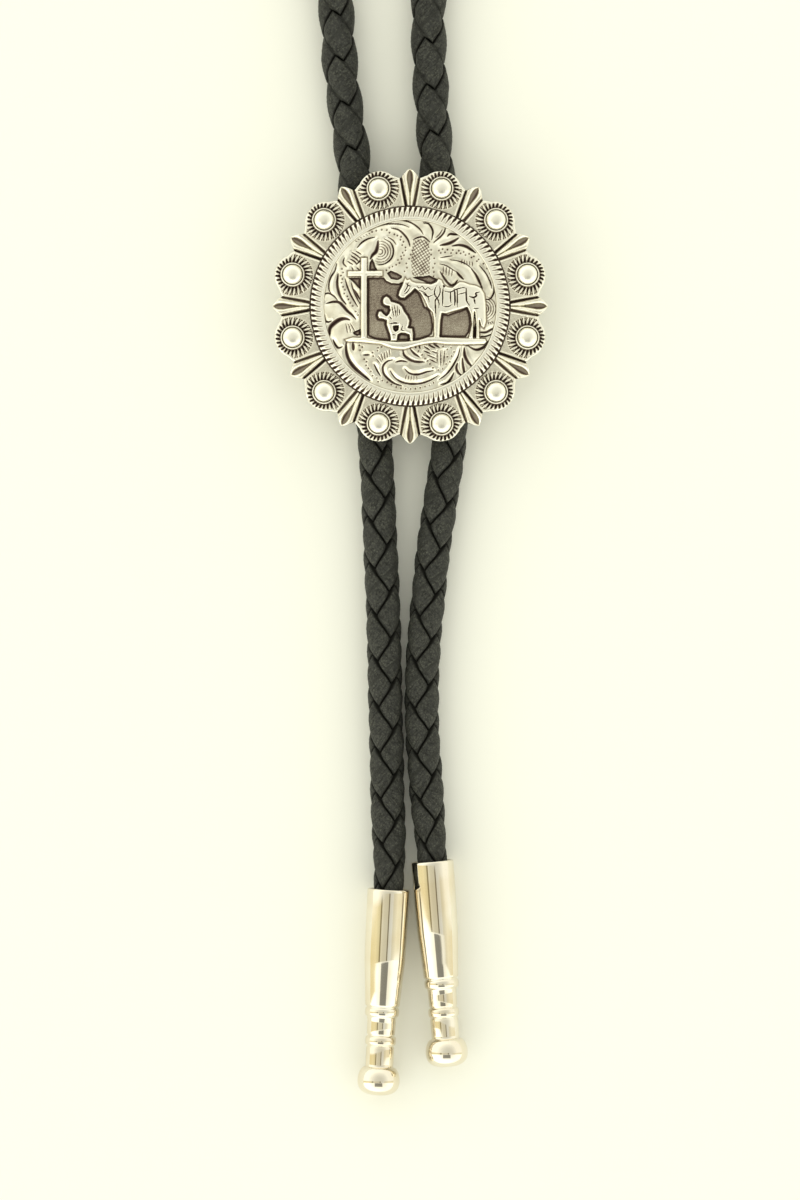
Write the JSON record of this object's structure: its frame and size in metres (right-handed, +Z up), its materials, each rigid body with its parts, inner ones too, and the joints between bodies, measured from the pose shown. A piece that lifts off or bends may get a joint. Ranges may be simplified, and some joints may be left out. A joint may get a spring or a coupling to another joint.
{
  "type": "bolo tie",
  "caption": "Western bolo tie: a scalloped round cast slide with studs and a raised praying scene on a braided black cord that ends in turned metal tips.",
  "frame": {"origin": "on the clip's flat back, under the middle of the concho, on the surface that the tie lies on", "axes": "+Z up out of the concho's face, +Y towards the neck, so the tips point to -Y"},
  "size_m": [0.128, 0.4162, 0.0118],
  "materials": {
    "antique_silver": "antiqued silver plate, bright on the highs and dark in the recesses",
    "stamped_nickel": "satin nickel plate",
    "polished_nickel": "mirror-polished nickel plate",
    "black_leather": "matt black braided leather strands"
  },
  "bodies": {
    "root": {"concho": "antique_silver", "back_clip": "stamped_nickel", "neck_loop": "black_leather", "tail_left": "black_leather", "tail_right": "black_leather", "tip_left": "polished_nickel", "tip_right": "polished_nickel"}
  },
  "joints": []
}
